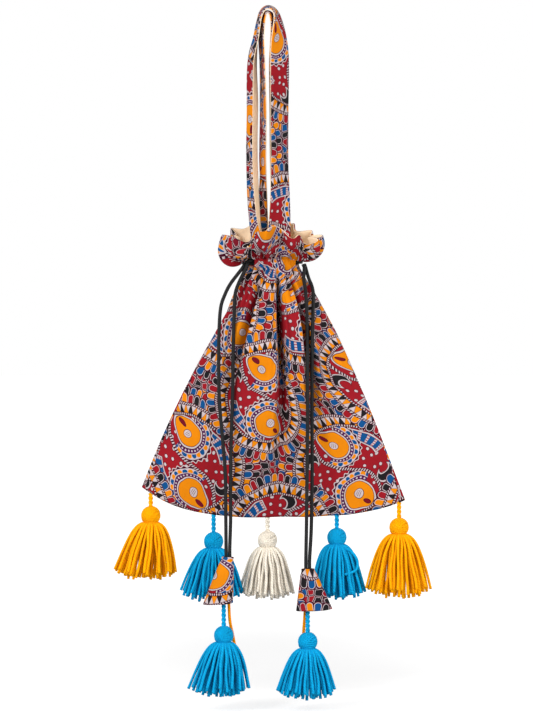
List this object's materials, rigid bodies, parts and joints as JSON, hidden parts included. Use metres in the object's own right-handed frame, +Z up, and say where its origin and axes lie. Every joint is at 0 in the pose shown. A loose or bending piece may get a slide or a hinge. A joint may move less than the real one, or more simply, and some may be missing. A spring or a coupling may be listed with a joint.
{
  "type": "potli_bag",
  "caption": "Drawstring potli bag in printed cotton with a gathered neck, frilled top, two strap handles, black drawstrings with cloth caps, and yarn tassels along the hem",
  "frame": {"origin": "underside of the back handle's top, where a hook or a hand carries the bag", "axes": "+Z up, front (the side the drawstrings hang on) faces -Y, +X to the right seen from the front"},
  "size_m": [0.3163, 0.0978, 0.6904],
  "materials": {
    "printed_cloth": "matte",
    "cream_cloth": "matte",
    "black_cord": "matte",
    "orange_yarn": "matte",
    "blue_yarn": "matte",
    "cream_yarn": "matte"
  },
  "bodies": {
    "bag": {"front_panel": "printed_cloth", "back_panel": "printed_cloth", "lining": "cream_cloth", "left_drawstring_in_channel": "black_cord", "right_drawstring_in_channel": "black_cord", "front_handle_strap": "printed_cloth", "front_handle_facing": "cream_cloth", "back_handle_strap": "printed_cloth", "back_handle_facing": "cream_cloth"},
    "hem_tassel_1": {"hem_tassel_1_loop": "orange_yarn", "hem_tassel_1_head": "orange_yarn", "hem_tassel_1_skirt": "orange_yarn"},
    "hem_tassel_2": {"hem_tassel_2_loop": "blue_yarn", "hem_tassel_2_head": "blue_yarn", "hem_tassel_2_skirt": "blue_yarn"},
    "hem_tassel_3": {"hem_tassel_3_loop": "cream_yarn", "hem_tassel_3_head": "cream_yarn", "hem_tassel_3_skirt": "cream_yarn"},
    "hem_tassel_4": {"hem_tassel_4_loop": "blue_yarn", "hem_tassel_4_head": "blue_yarn", "hem_tassel_4_skirt": "blue_yarn"},
    "hem_tassel_5": {"hem_tassel_5_loop": "orange_yarn", "hem_tassel_5_head": "orange_yarn", "hem_tassel_5_skirt": "orange_yarn"},
    "left_drawstring": {"left_drawstring_inner_strand": "black_cord", "left_drawstring_outer_strand": "black_cord", "left_cord_cap": "printed_cloth", "left_cord_knot": "black_cord", "left_yarn_stem": "blue_yarn"},
    "left_pendant": {"left_pendant_loop": "blue_yarn", "left_pendant_head": "blue_yarn", "left_pendant_skirt": "blue_yarn", "left_yarn_tail": "orange_yarn"},
    "right_drawstring": {"right_drawstring_inner_strand": "black_cord", "right_drawstring_outer_strand": "black_cord", "right_cord_cap": "printed_cloth", "right_cord_knot": "black_cord", "right_yarn_stem": "blue_yarn"},
    "right_pendant": {"right_pendant_loop": "blue_yarn", "right_pendant_head": "blue_yarn", "right_pendant_skirt": "blue_yarn", "right_yarn_tail": "orange_yarn"}
  },
  "joints": [
    {"name": "hem_tassel_1_swing", "type": "hinge", "parent": "bag", "child": "hem_tassel_1", "pos_m": [-0.118, 0.00127, -0.4808], "axis": [1, 0, 0], "range_deg": [-75, 75]},
    {"name": "hem_tassel_2_swing", "type": "hinge", "parent": "bag", "child": "hem_tassel_2", "pos_m": [-0.055, -0.00005, -0.50234], "axis": [1, 0, 0], "range_deg": [0, 75]},
    {"name": "hem_tassel_3_swing", "type": "hinge", "parent": "bag", "child": "hem_tassel_3", "pos_m": [-0.001, -0.00148, -0.5044], "axis": [1, 0, 0], "range_deg": [-75, 75]},
    {"name": "hem_tassel_4_swing", "type": "hinge", "parent": "bag", "child": "hem_tassel_4", "pos_m": [0.0685, 0.00154, -0.50299], "axis": [1, 0, 0], "range_deg": [0, 75]},
    {"name": "hem_tassel_5_swing", "type": "hinge", "parent": "bag", "child": "hem_tassel_5", "pos_m": [0.1308, -0.00059, -0.48997], "axis": [1, 0, 0], "range_deg": [-75, 75]},
    {"name": "left_drawstring_swing", "type": "hinge", "parent": "bag", "child": "left_drawstring", "pos_m": [-0.0224, -0.01964, -0.24816], "axis": [1, 0, 0], "range_deg": [-60, 0]},
    {"name": "left_pendant_swing", "type": "hinge", "parent": "left_drawstring", "child": "left_pendant", "pos_m": [-0.0445, -0.03619, -0.5891], "axis": [1, 0, 0], "range_deg": [-75, 45]},
    {"name": "right_drawstring_swing", "type": "hinge", "parent": "bag", "child": "right_drawstring", "pos_m": [0.03505, -0.0075, -0.24984], "axis": [1, 0, 0], "range_deg": [-60, 0]},
    {"name": "right_pendant_swing", "type": "hinge", "parent": "right_drawstring", "child": "right_pendant", "pos_m": [0.039, -0.03394, -0.5956], "axis": [1, 0, 0], "range_deg": [-75, 45]}
  ]
}
